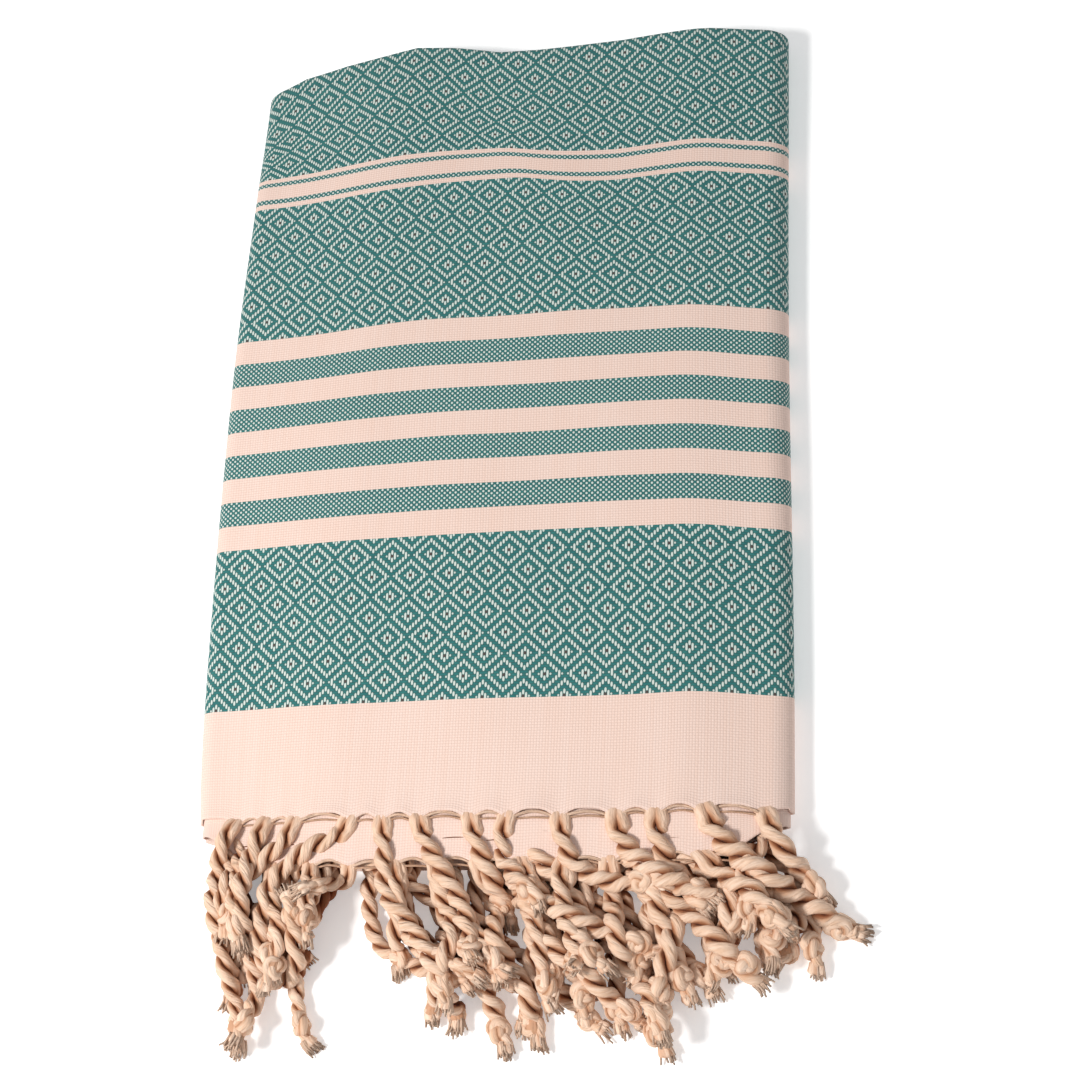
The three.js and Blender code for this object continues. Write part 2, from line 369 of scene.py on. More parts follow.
    blotch = n.noise(weave, 0.045, 3.0)
    streak = n.random(n.math("ADD", end, 0.5))
    cream = n.mix(n.math("ADD", n.math("MULTIPLY", blotch, 0.7), n.math("MULTIPLY", streak, 0.3)),
                  CREAM, CREAM_WARM)
    wisp = n.random(n.math("ADD", n.math("MULTIPLY", weft, 1.37), 3.1))
    teal = n.mix(n.math("ADD", n.math("MULTIPLY", n.noise(weave, 0.35, 3.0), 0.8),
                        n.math("MULTIPLY", wisp, 0.2)), TEAL, TEAL_LIGHT)
    # Painted shade in the hole at each diamond's middle.
    teal = n.mix(n.math("MULTIPLY", n.math("MULTIPLY", hole, in_diamond), 0.75), teal, HOLE_SHADE)
    weft_colour = n.mix(teal_weft, cream, teal)
    warp_colour = n.mix(n.math("MULTIPLY", teal_weft, 0.72), cream, PALE)
    colour = n.mix(warp_seen, weft_colour, warp_colour)
    # Painted shade: darker where a thread sinks below its top, between the threads and at the ends of
    # floats, deeper in the teal parts.
    depth = n.math("SUBTRACT", 1.0, height)
    gap_shade = n.math("MULTIPLY", n.math("POWER", depth, 1.5), n.choose(teal_weft, 0.42, 0.7))
    colour = n.mix(gap_shade, colour, n.mix(teal_weft, CREAM_GAP_SHADE, TEAL_GAP_SHADE))
    n.feed(n.shader.inputs["Base Color"], colour)
    n.shader.inputs["Roughness"].default_value = 0.88
    n.shader.inputs["Specular IOR Level"].default_value = 0.25
    n.shader.inputs["Sheen Weight"].default_value = 0.12
    n.shader.inputs["Sheen Roughness"].default_value = 0.5
    n.bump(n.math("ADD", height, n.math("MULTIPLY", n.noise(weave, 4.0), 0.2)), 0.0003, 0.55)
    return n.material


CORD_LIGHT = (0.87, 0.66, 0.52, 1)
CORD_DARK = (0.70, 0.45, 0.30, 1)
# Painted shade colours, used where the shade attribute is low: half shaded, and deepest in the grooves.
CORD_SHADED = (0.52, 0.26, 0.14, 1)
CORD_GROOVE_SHADE = (0.17, 0.036, 0.008, 1)
FIBRE_STRETCH = (11, 0.22, 1)  # fine round the strand and long along it


def cord_material():
    """Twisted cotton yarn: fine fibres along each strand, and painted shade, darker and redder, in the
    grooves.
    """
    n = Nodes("cotton_cord")
    strand = n.node("ShaderNodeUVMap", uv_map="strand").outputs[0]
    stretch = n.node("ShaderNodeMapping")
    stretch.inputs["Scale"].default_value = FIBRE_STRETCH
    n.feed(stretch.inputs["Vector"], strand)
    fibres = n.noise(stretch.outputs[0], 1.0, 4.0)
    mottle = n.noise(strand, 0.06, 2.0)
    shade = n.node("ShaderNodeAttribute", attribute_name="shade").outputs["Fac"]
    tone = n.math("ADD", n.math("MULTIPLY", mottle, 0.4), n.math("MULTIPLY", fibres, 0.6))
    tone = n.ramp(tone, 0.36, 0.64)
    open_colour = n.mix(tone, CORD_LIGHT, CORD_DARK)
    # Painted shade: the groove colour, then the half-shaded one, then the open colour as the shade
    # attribute rises.
    half_shaded = n.mix(n.ramp(shade, 0.0, 0.5), CORD_GROOVE_SHADE, CORD_SHADED)
    n.feed(n.shader.inputs["Base Color"], n.mix(n.ramp(shade, 0.3, 1.0), half_shaded, open_colour))
    n.shader.inputs["Roughness"].default_value = 0.85
    n.shader.inputs["Specular IOR Level"].default_value = 0.12
    n.shader.inputs["Sheen Weight"].default_value = 0.05
    n.bump(fibres, 0.0012, 0.9)
    return n.material


# ---- Mesh helpers ------------------------------------------------------------------------------

def mesh_object(name, points, faces, uv_name, uv, material):
    """A mesh object in metres from towel points in millimetres. uv holds one pair a face corner."""
    faces = np.asarray(faces, np.int32)
    sides = faces.shape[1]
    mesh = bpy.data.meshes.new(name)
    mesh.vertices.add(len(points))
    mesh.vertices.foreach_set("co", place(points).astype(np.float32).ravel())
    mesh.loops.add(faces.size)
    mesh.loops.foreach_set("vertex_index", faces.ravel())
    mesh.polygons.add(len(faces))
    mesh.polygons.foreach_set("loop_start", np.arange(0, faces.size, sides, dtype=np.int32))
    mesh.update(calc_edges=True)
    layer = mesh.uv_layers.new(name=uv_name)
    layer.data.foreach_set("uv", np.asarray(uv, np.float32).ravel())
    mesh.validate()
    mesh.polygons.foreach_set("use_smooth", np.ones(len(mesh.polygons), bool))
    mesh.materials.append(material)
    made = bpy.data.objects.new(name, mesh)
    bpy.context.scene.collection.objects.link(made)
    return made


# ---- Cloth -------------------------------------------------------------------------------------

def across_path():
    """Samples along the bundle's outer surface: distance, x, z and the outward direction."""
    rows = []

    def straight(x_from, x_to, z, out, step):
        count = max(int(abs(x_to - x_from) / step), 1)
        for i in range(count):
            rows.append((x_from + (x_to - x_from) * i / count, z, 0.0, out))

    def turn(x, z, radius, start, end, count):
        for i in range(count):
            angle = math.radians(start + (end - start) * i / count)
            out = (math.cos(angle), math.sin(angle))
            rows.append((x + radius * out[0], z + radius * out[1], *out))

    straight(BUNDLE_GAP - half_width, right_fold_x, 0.0, -1.0, 9.0)
    turn(right_fold_x, stack / 2, outer_radius, -90, 90, 16)
    straight(right_fold_x, left_fold_x, stack, 1.0, 2.2)
    turn(left_fold_x, stack - left_radius, left_radius, 90, 270, 14)
    straight(left_fold_x, right_fold_x, level, -1.0, 9.0)
    rows.append((right_fold_x, level, 0.0, -1.0))
    table = np.array(rows)
    steps = np.hypot(np.diff(table[:, 0]), np.diff(table[:, 1]))
    return np.concatenate([[0.0], np.cumsum(steps)]), table


def along_path():
    """Samples along the cloth: y and depth in the bundle, and how far each is from its own hem."""
    deep = (PLIES - 1) * PLY_PITCH
    fold = deep / 2
    small = PLY_PITCH / 2
    far = panel_length - fold
    near_turn = 4.0
    rows = []

    def straight(y_from, y_to, depth, step):
        count = max(int(abs(y_to - y_from) / step), 1)
        for i in range(count):
            rows.append((y_from + (y_to - y_from) * i / count, depth))

    def turn(y, depth, radius, start, end, count):
        for i in range(count):
            angle = math.radians(start + (end - start) * i / count)
            rows.append((y + radius * math.cos(angle), depth - radius * math.sin(angle)))

    straight(0.0, 24.0, 0.0, 1.5)
    straight(24.0, far - 20.0, 0.0, 4.0)
    straight(far - 20.0, far, 0.0, 2.5)
    turn(far, fold, fold, 90, -90, 8)
    straight(far, near_turn, deep, 14.0)
    turn(near_turn, deep - small, small, 270, 90, 4)
    straight(near_turn, far, deep - PLY_PITCH, 14.0)
    turn(far, fold, small, -90, 90, 4)
    straight(far, 10.0, PLY_PITCH, 14.0)
    straight(10.0, -HEM_STEP, PLY_PITCH, 1.5)
    rows.append((-HEM_STEP, PLY_PITCH))
    table = np.array(rows)
    steps = np.hypot(np.diff(table[:, 0]), np.diff(table[:, 1]))
    distance = np.concatenate([[0.0], np.cumsum(steps)])
    from_hem = np.minimum(distance, distance[-1] - distance)
    return table, from_hem


NEAR_SHIFT = 3.2  # the near hem lies this much nearer than its drawn place

# How far the far fold lies back from a straight line, at places across the towel. Worked out from
# where the outline lies in the photograph and in renders.
FAR_EDGE = (
    (-119, 15), (-110, 11.5), (-100, 7), (-80, 4), (-61, 2.4), (-47, 0.8), (-29, 3.8),
    (-10, 8), (9, 8.5), (46, 8.2), (84, 5.0), (106, 4.6), (119, 5.5),
)


def relax(points):
    """The towel's soft shape: thinner at the left, fuller at the far right, with shallow waves."""
    x, y, z = points[..., 0], points[..., 1], points[..., 2]
    share = z / stack
    left = smoothstep((-0.42 * half_width - x) / (0.62 * half_width))
    far_right = smoothstep((x - 0.2 * half_width) / (0.8 * half_width)) * smoothstep(y / panel_length)
    right = smoothstep((x - 0.62 * half_width) / (0.38 * half_width))
    waves = 0.55 * np.sin(0.047 * x + 0.011 * y + 1.0) * np.sin(0.019 * y - 0.012 * x + 0.4)
    waves += 0.35 * np.sin(0.09 * x - 0.02 * y) * np.cos(0.04 * y + 0.6)
    rise = stack * (-0.42 * left + 0.15 * far_right - 0.22 * right) + waves
    along = np.clip(y / panel_length, 0, 1)
    left_side = np.clip(-x / half_width, 0, 1) ** 3
    inward = 5.5 * np.exp(-np.clip(y, 0, None) / 40.0) - 1.3 * np.sin(math.pi * along)
    edge_x, edge_y = np.array(FAR_EDGE, float).T
    back_from = 0.8 - 0.25 * smoothstep((x + 10) / 60)
    back = np.interp(x, edge_x, edge_y) * smoothstep((along - back_from) / (0.95 - back_from))
    near = NEAR_SHIFT * (1 - smoothstep(y / 130.0)) * (1 - 0.8 * smoothstep((x - 50) / 55))
    swell = 2.2 * np.exp(-((x + 32) / 30) ** 2) * smoothstep((y - 100) / 120)
    out = np.empty_like(points)
    out[..., 0] = x + left_side * inward + 1.0 * np.sin(0.02 * y + 0.6) * share
    out[..., 1] = y - back - near + swell - 2.6 * right * share + 1.5 * np.sin(0.03 * x + 0.4) * along
    usable = (stack - THICKNESS) / stack
    out[..., 2] = FLOOR_GAP + THICKNESS / 2 + usable * (z + share * rise)
    return out


# Where the cords of the top hem grow, across the towel.
TOP_ROOTS = (-98, -85, -72, -49, -37, -23, -3, 12, 31, 52, 67, 84, 106)
SECOND_ROOTS = tuple(-98 + 16.4 * i for i in range(13))


def pull(x, roots, width):
    """1 at a cord's root and 0 half way between two roots."""
    near = np.min(np.abs(np.asarray(x)[..., None] - np.asarray(roots, float)), axis=-1)
    return np.exp(-((near / width) ** 2))


def cloth_points(across, along):
    """The folded cloth's points on the grid of both paths."""
    x = across[:, 0][:, None] - across[:, 2][:, None] * along[:, 1][None, :]
    z = across[:, 1][:, None] - across[:, 3][:, None] * along[:, 1][None, :]
    y = np.broadcast_to(along[:, 0][None, :], x.shape).copy()
    first_ply = np.arange(len(along)) < np.argmax(along[:, 0])
    near = np.exp(-np.clip(y, 0, None) / 5.0) * first_ply[None, :]
    on_top = (across[:, 3] > 0.5)[:, None]
    gathered = pull(x, TOP_ROOTS, 4.0)
    y = y + near * on_top * (1.6 - 3.2 * gathered)
    z = z + near * on_top * (0.2 + 0.8 * (1 - gathered))
    last_ply = np.arange(len(along)) > len(along) - 22
    lip = np.exp(-np.clip(y + HEM_STEP, 0, None) / 5.0) * last_ply[None, :]
    y = y + lip * on_top * (1.2 - 2.4 * pull(x, SECOND_ROOTS, 4.0))
    beside = smoothstep((np.abs(x) - 0.72 * half_width) / (0.28 * half_width))
    y = np.where((y < 0) & last_ply[None, :], y * (1 - 0.7 * beside), y)
    droop = smoothstep(-y / HEM_STEP) * last_ply[None, :]
    z = z - droop * on_top * LIP_GAP
    return relax(np.stack([x, y, z], axis=-1))


def make_cloth(material):
    distance_across, across = across_path()
    along, from_hem = along_path()
    points = cloth_points(across, along)
    rows, columns = points.shape[:2]
    index = np.arange(rows * columns).reshape(rows, columns)
    a, b = index[:-1, :-1], index[1:, :-1]
    c, d = index[1:, 1:], index[:-1, 1:]
    faces = np.stack([a, b, c, d], axis=-1).reshape(-1, 4)
    ends = np.broadcast_to((distance_across / END_PITCH)[:, None], (rows, columns))
    picks = np.broadcast_to((from_hem / PICK_PITCH)[None, :], (rows, columns))
    weave = np.stack([ends, picks], axis=-1).reshape(-1, 2)
    cloth = mesh_object("towel_cloth", points.reshape(-1, 3), faces, "weave", weave[faces], material)
    solid = cloth.modifiers.new("thickness", "SOLIDIFY")
    solid.thickness = THICKNESS * MM
    solid.offset = 0
    bpy.context.view_layer.objects.active = cloth
    bpy.ops.object.modifier_apply(modifier=solid.name)
    return cloth


# ---- Cords -------------------------------------------------------------------------------------

class Pile:
    """The height of what lies in front of the towel, on a grid of square cells."""

    CELL = 1.0
    LEFT, NEAR = -150.0, -150.0
    COLUMNS, ROWS = 330, 190

    def __init__(self):
        self.height = np.zeros((self.COLUMNS, self.ROWS))

    def cells(self, x, y, radius):
        reach = int(radius / self.CELL) + 1
        column = int(round((x - self.LEFT) / self.CELL))
        row = int(round((y - self.NEAR) / self.CELL))
        columns = slice(max(column - reach, 0), column + reach + 1)
        rows = slice(max(row - reach, 0), row + reach + 1)
        grid_x = self.LEFT + self.CELL * np.arange(columns.start, columns.stop)[:, None]
        grid_y = self.NEAR + self.CELL * np.arange(rows.start, rows.stop)[None, :]
        away = ((grid_x - x) ** 2 + (grid_y - y) ** 2) / radius ** 2
        return (columns, rows), radius * np.sqrt(np.clip(1 - away, 0, None)), away < 1

    def rest(self, x, y, radius):
        """How high a ball's middle is when it lies here."""
        cells, dome, inside = self.cells(x, y, radius)
        under = self.height[cells]
        return max(float(np.max(np.where(inside, under + dome, 0))), radius)

    def cover(self, x, y, z, radius):
        cells, dome, inside = self.cells(x, y, radius)
        under = self.height[cells]
        under[inside] = np.maximum(under, z + dome)[inside]


def spline(points, step):
    """A smooth line through these points, sampled evenly."""
    p = np.asarray(points, float)
    p = np.vstack([2 * p[0] - p[1], p, 2 * p[-1] - p[-2]])
    fine = []
    for i in range(1, len(p) - 2):
        t = np.linspace(0, 1, 24, endpoint=False)[:, None]
        a, b, c, d = p[i - 1], p[i], p[i + 1], p[i + 2]
        fine.append(0.5 * (2 * b + (c - a) * t + (2 * a - 5 * b + 4 * c - d) * t ** 2
                           + (3 * b - a - 3 * c + d) * t ** 3))
    fine = np.vstack([*fine, p[-2][None, :]])
    return resample(fine, step)


def resample(line, step):
    lengths = np.linalg.norm(np.diff(line, axis=0), axis=1)
    distance = np.concatenate([[0.0], np.cumsum(lengths)])
    count = max(int(distance[-1] / step), 2)
    at = np.linspace(0, distance[-1], count + 1)
    return np.stack([np.interp(at, distance, line[:, k]) for k in range(line.shape[1])], axis=1)


def blur(values, passes):
    out = values.copy()
    for _ in range(passes):
        out[1:-1] = (out[:-2] + 2 * out[1:-1] + out[2:]) / 4
    return out


# The pile is kept low: it counts a cord as thinner than it is, and heights are squeezed towards a
# limit. So cords overlap where they cross, by up to most of their thickness.
CUT = 6.0  # the plans run on to where the knots' far ends lie
SOFT_RADIUS = 2.3
PILE_LIMIT = 27.0
LOWEST = 3.3  # the lowest middle line of a cord
LIFT_PASSES = 6
LIFT_BLUR = 10
LAST_BLUR = 14  # smooths a cord's line, and lets it sink below where it would rest
RISE_FROM_ROOT = 12.0  # the stretch over which a cord goes from its root to the pile


def lay(pile, plan, root_height):
    """The heights at which a cord along this plan comes to lie on the pile."""
    count = len(plan)
    radius = np.full(count, SOFT_RADIUS)
    radius[-int(CUT / STEP):] = KNOT_RADIUS
    rest = np.array([pile.rest(x, y, r) for (x, y), r in zip(plan, radius)])
    rest = np.maximum(PILE_LIMIT * np.tanh(rest / PILE_LIMIT), LOWEST)
    height = rest
    for _ in range(LIFT_PASSES):
        height = np.maximum(blur(height, LIFT_BLUR), rest)
    height = blur(height, LAST_BLUR)
    leave = smoothstep(np.arange(count) * STEP / RISE_FROM_ROOT)
    height = root_height + (height - root_height) * leave
    for (x, y), z, r in zip(plan, height, radius):
        pile.cover(x, y, z, r)
    return np.column_stack([plan, height])


KNOT_RADIUS = 3.8  # on the pile
CORE_HALF_LENGTH = 4.2
CORE_RADIUS = 3.3
CORE_RINGS = 9
CORE_SIDES = 8
KNOT_TUBE = 0.78  # how far the cord is pressed together in its knot
KNOT_RING = 1.75
KNOT_SWING = 1.35
TAIL = 2.0


def knot_line(random):
    """An overhand knot along +x from (0, 0, 0), as a trefoil opened where its ends cross."""
    t = np.linspace(0.04, 0.96, 64) * 2 * math.pi
    ring = KNOT_RING + KNOT_SWING * np.cos(3 * t)
    swing = KNOT_SWING * np.sin(3 * t)
    x = ring * np.sin(2 * t)
    y = ring * np.cos(2 * t) - 0.35 * (KNOT_RING + KNOT_SWING)
    turn = random.uniform(0, 2 * math.pi)
    points = np.stack([x, y * math.cos(turn) - swing * math.sin(turn),
                       y * math.sin(turn) + swing * math.cos(turn)], axis=1)
    length = KNOT_RING + KNOT_SWING + 1.5
    return points, length


def add_knot(line, random):
    """The cord's line with a knot and a short tail after its end, and where the knot lies in it."""
    tip = line[-1]
    forward = line[-1] - line[-6]
    forward /= np.linalg.norm(forward)
    side = np.cross((0, 0, 1.0), forward)
    side /= np.linalg.norm(side)
    up = np.cross(forward, side)
    points, reach = knot_line(random)
    knot = tip + np.outer(points[:, 0] + reach, forward) + np.outer(points[:, 1], side)
    knot += np.outer(points[:, 2], up)
    end = tip + forward * 2 * reach
    bend = side * random.uniform(-0.5, 0.5)
    tail = end + np.outer(np.linspace(0.3, 1, 4) * TAIL, forward + bend)
    tail[:, 2] -= np.linspace(0, 1, 4) * random.uniform(0.0, 1.5)
    whole = np.vstack([line, knot, tail])
    start = np.linalg.norm(np.diff(line, axis=0), axis=1).sum()
    total = np.linalg.norm(np.diff(whole, axis=0), axis=1).sum()
    smooth = resample(whole, STEP)
    smooth = np.stack([blur(smooth[:, k], 2) for k in range(3)], axis=1)
    smooth[:, 2] = np.maximum(smooth[:, 2], LOWEST)
    return smooth, start, total - TAIL


def frames(line):
    """A direction along the line and two across it that turn as little as they can."""
    ahead = np.gradient(line, axis=0)
    ahead /= np.linalg.norm(ahead, axis=1)[:, None]
    side = np.empty_like(line)
    first = np.array([1.0, 0, 0])
    current = first - ahead[0] * first.dot(ahead[0])
    for i, direction in enumerate(ahead):
        current = current - direction * current.dot(direction)
        current /= np.linalg.norm(current)
        side[i] = current
    return ahead, side, np.cross(ahead, side)


def tube(line, side, up, wide, high_, phase, sides, lumps):
    """Rings of a tube: points, faces and, a face corner, its place round and along the tube."""
    angle = np.linspace(0, 2 * math.pi, sides, endpoint=False)
    across = np.cos(angle)[None, :, None] * (side * wide[:, None])[:, None, :]
    upward = np.sin(angle)[None, :, None] * (up * high_[:, None])[:, None, :]
    points = (line[:, None, :] + (across + upward) * lumps[:, :, None]).reshape(-1, 3)
    rings = len(line)
    index = np.arange(rings * sides).reshape(rings, sides)
    after = np.roll(index, -1, axis=1)
    faces = np.stack([index[:-1], after[:-1], after[1:], index[1:]], axis=-1).reshape(-1, 4)
    steps = np.concatenate([[0.0], np.cumsum(np.linalg.norm(np.diff(line, axis=0), axis=1))])
    around = np.arange(sides) / sides
    low_u = np.broadcast_to(around[None, :], (rings - 1, sides))
    low_v = np.broadcast_to(steps[:-1, None], (rings - 1, sides))
    high_v = np.broadcast_to(steps[1:, None], (rings - 1, sides))
    high_u = low_u + 1 / sides
    uv = np.stack([np.stack([low_u + phase, low_v], -1), np.stack([high_u + phase, low_v], -1),
                   np.stack([high_u + phase, high_v], -1), np.stack([low_u + phase, high_v], -1)],
                  axis=2).reshape(-1, 4, 2)
    return points, faces, uv


class Yarns:
    """Tubes gathered into one mesh, with how open to the light each point is."""

    def __init__(self):
        self.points, self.faces, self.caps, self.uv, self.shade = [], [], [], [], []
        self.count = 0

    def add(self, line, side, up, wide, high_, sides, shade, phase=0.0, lumps=None):
        if lumps is None:
            lumps = np.ones((len(line), sides))
        points, faces, uv = tube(line, side, up, wide, high_, phase, sides, lumps)
        cap_start, cap_end = len(points), len(points) + 1
        points = np.vstack([points, line[0], line[-1]])
        points[:, 2] = np.maximum(points[:, 2], FLOOR_GAP)
        self.points.append(points)
        self.faces.append(faces + self.count)
        self.uv.append(uv)
        ring = np.arange(sides)
        after = np.roll(ring, -1)
        last = (len(line) - 1) * sides
        start_cap = np.stack([np.full(sides, cap_start), after, ring, np.full(sides, cap_start)], -1)
        end_cap = np.stack([np.full(sides, cap_end), last + ring, last + after,
                            np.full(sides, cap_end)], -1)
        self.caps.append(start_cap[:, :3] + self.count)
        self.caps.append(end_cap[:, :3] + self.count)
        self.shade.append(np.concatenate([np.ravel(shade), [0.5, 0.5]]))
        self.count += len(points)

    def take_in(self, other):
        """Adds all of another's tubes to these."""
        self.points += other.points
        self.faces += [faces + self.count for faces in other.faces]
        self.caps += [caps + self.count for caps in other.caps]
        self.uv += other.uv
        self.shade += other.shade
        self.count += other.count

    def build(self, name, material):
        points = np.vstack(self.points)
        quads = np.vstack(self.faces)
        uv = np.vstack(self.uv)
        caps = np.vstack(self.caps)
        mesh = bpy.data.meshes.new(name)
        mesh.vertices.add(len(points))
        mesh.vertices.foreach_set("co", place(points).astype(np.float32).ravel())
        loops = np.concatenate([quads.ravel(), caps.ravel()]).astype(np.int32)
        starts = np.concatenate([np.arange(0, quads.size, 4), quads.size + np.arange(0, caps.size, 3)])
        mesh.loops.add(len(loops))
        mesh.loops.foreach_set("vertex_index", loops)
        mesh.polygons.add(len(starts))
        mesh.polygons.foreach_set("loop_start", starts.astype(np.int32))
        mesh.update(calc_edges=True)
        layer = mesh.uv_layers.new(name="strand")
        flat = np.concatenate([uv.reshape(-1, 2), np.zeros((caps.size, 2))]).astype(np.float32)
        layer.data.foreach_set("uv", flat.ravel())
        attribute = mesh.attributes.new("shade", "FLOAT", "POINT")
        attribute.data.foreach_set("value", np.concatenate(self.shade).astype(np.float32))
        mesh.polygons.foreach_set("use_smooth", np.ones(len(mesh.polygons), bool))
        mesh.materials.append(material)
        made = bpy.data.objects.new(name, mesh)
        bpy.context.scene.collection.objects.link(made)
        return made


def add_strands(yarns, line, knot_start, knot_end, random, girth):
    """The cord's two strands, which come together at the root, twist, and shrink in the knot."""
    ahead, side, up = frames(line)
    at = np.concatenate([[0.0], np.cumsum(np.linalg.norm(np.diff(line, axis=0), axis=1))])
    in_knot = smoothstep((at - knot_start + 3) / 4) * (1 - smoothstep((at - knot_end + 1) / 3))
    gathered = 1 - smoothstep(at / GATHER)
    size = CORD_RADIUS * girth * random.uniform(0.92, 1.08) * (1 - (1 - KNOT_TUBE) * in_knot)
    size *= 1 + 0.05 * np.sin(at * 0.9 + random.uniform(0, 6)) + 0.04 * np.sin(at * 0.31)
    spread = 0.5 * size + (GATHER_HALF_WIDTH - 0.5 * size) * gathered
    turns = np.clip(at - GATHER, 0, None) / random.uniform(*TWIST_PITCH)
    angle = TWIST_HAND * 2 * math.pi * turns
    spread *= 1 - 0.4 * in_knot
    flat = 1 - 0.6 * np.exp(-at / 3.0)
    sides = STRAND_SIDES
    for k in (0, 1):
        turned = angle + math.pi * k
        out = side * np.cos(turned)[:, None] + up * np.sin(turned)[:, None]
        across = -side * np.sin(turned)[:, None] + up * np.cos(turned)[:, None]
        centre = line + out * spread[:, None]
        lumps = random.normal(0, 0.09, (len(line), sides))
        lumps = 1 + blur(lumps + np.roll(lumps, 1, axis=1), 2)
        thick = 0.53 * size * (1 + 0.3 * gathered + 0.25 * in_knot)
        wide = 0.69 * size * (1 - 0.3 * gathered) * flat
        # Painted shade in the groove: darker on the side of each strand that faces the other, lighter
        # where the strands lie flat at the root.
        ring = np.linspace(0, 2 * math.pi, sides, endpoint=False)
        inward = 0.5 + 0.5 * np.cos(ring)
        groove_shade = 0.04 + 0.96 * smoothstep(inward * 1.3)
        groove_shade = groove_shade[None, :] + (0.9 - groove_shade[None, :]) * 0.7 * gathered[:, None]
        shade = np.broadcast_to(groove_shade, (len(line), sides))
        yarns.add(centre, out, across, thick, wide, sides, shade, random.uniform(0, 9), lumps)
    if knot_end > knot_start:
        core = (at > knot_start) & (at < knot_end)
        add_core(yarns, line[core], random)


def add_core(yarns, knot, random):
    """A solid inside for a knot, which closes the holes that its strands leave."""
    middle_point = knot.mean(axis=0)
    heading = knot[-1] - knot[0]
    heading /= np.linalg.norm(heading)
    share = np.linspace(-1, 1, CORE_RINGS)
    centre = middle_point + np.outer(share * CORE_HALF_LENGTH, heading)
    _, side, up = frames(centre)
    size = CORE_RADIUS * np.sqrt(np.clip(1.02 - share ** 2, 0.02, 1))
    shade = np.full((CORE_RINGS, CORE_SIDES), 0.45)
    yarns.add(centre, side, up, size, size, CORE_SIDES, shade, random.uniform(0, 9))


FIBRE_RINGS = 4
BRUSH_RINGS = 7
BRUSH_RADIUS = 3.0
BRUSH_SIDES = 18


def add_tuft(yarns, line, random, count):
    """The frayed end: a short brush that widens, with loose fibres standing out of it."""
    root = line[-1]
    ahead = line[-1] - line[-4]
    ahead /= np.linalg.norm(ahead)
    side = np.cross((0, 0, 1.0), ahead)
    side /= np.linalg.norm(side)
    up = np.cross(ahead, side)
    length = random.uniform(3.6, 5.4)
    t = np.linspace(0, 1, BRUSH_RINGS)
    droop = random.uniform(-0.25, 0.25) * side - 0.15 * up
    brush = root + np.outer(t * length - 1.5, ahead) + np.outer(t ** 2 * length, droop)
    brush[:, 2] = np.maximum(brush[:, 2], BRUSH_RADIUS * 0.8)
    _, across, upward = frames(brush)
    wide = BRUSH_RADIUS * (0.8 + 0.3 * t) * np.sqrt(np.clip(1.05 - t ** 6, 0.05, 1))
    lumps = 1 + random.normal(0, 0.09, BRUSH_SIDES)[None, :] * (0.4 + t[:, None])
    shade = np.broadcast_to(0.62 + 0.45 * (lumps[-1] > 1.0), (BRUSH_RINGS, BRUSH_SIDES))
    turn = random.uniform(0, 9)
    yarns.add(brush, across, upward, wide, wide * 0.8, BRUSH_SIDES, shade, turn, lumps)
    for _ in range(count):
        around = random.uniform(0, 2 * math.pi)
        share = math.sqrt(random.uniform(0, 1))
        out = side * math.cos(around) + up * 0.8 * math.sin(around)
        length = random.uniform(4.2, 6.2)
        bend = random.normal(0, 0.1, 3)
        t = np.linspace(0, 1, FIBRE_RINGS)[:, None]
        fibre = root - ahead + out * 2.7 * share + ahead * length * t
        fibre += out * 0.14 * share * length * t + (bend + droop) * length * t ** 2
        fibre[:, 2] = np.maximum(fibre[:, 2], 0.6)
        _, across, upward = frames(fibre)
        wide = np.linspace(0.62, 0.42, FIBRE_RINGS)
        shade = np.full((FIBRE_RINGS, 3), random.uniform(0.85, 1.2))
        yarns.add(fibre, across, upward, wide, wide, 3, shade, random.uniform(0, 9))


# The cords of the top hem and of the hem below it: the points that each passes, seen from above.
# Places picked by eye on the photograph were turned into these by a helper program, rounded, and
# in part moved by hand.
TOP_PLANS = (
    ((-99, 0), (-102, -14), (-100, -33), (-95, -54), (-91, -70), (-90, -80)),
    ((-85, 0), (-88, -14), (-88, -33), (-84, -54), (-83, -70), (-86, -80)),
    ((-72, 0), (-76, -10), (-84, -19), (-90, -32), (-88, -45)),
    ((-49, 0), (-53, -7), (-65, -14), (-78, -29), (-80, -52), (-74, -63), (-66, -56), (-67, -40)),
    ((-37, 0), (-35, -16), (-32, -33), (-22, -45), (-11, -61), (-5, -78)),
    ((-23, 0), (-18, -13), (-4, -37), (5, -64), (11, -80)),
    ((-3, 0), (0, -11), (5, -22), (11, -36)),
    ((12, 0), (10, -10), (12, -20), (22, -32)),
    ((31, 0), (33, -11), (38, -21), (50, -28), (64, -29)),
    ((52, 0), (54, -9), (60, -18), (72, -28), (84, -32)),
    ((67, 0), (68, -11), (73, -22), (82, -34)),
    ((84, 0), (91, -12), (103, -23), (119, -34), (134, -43)),
    ((106, 0), (110, -10), (117, -20), (124, -29)),
)
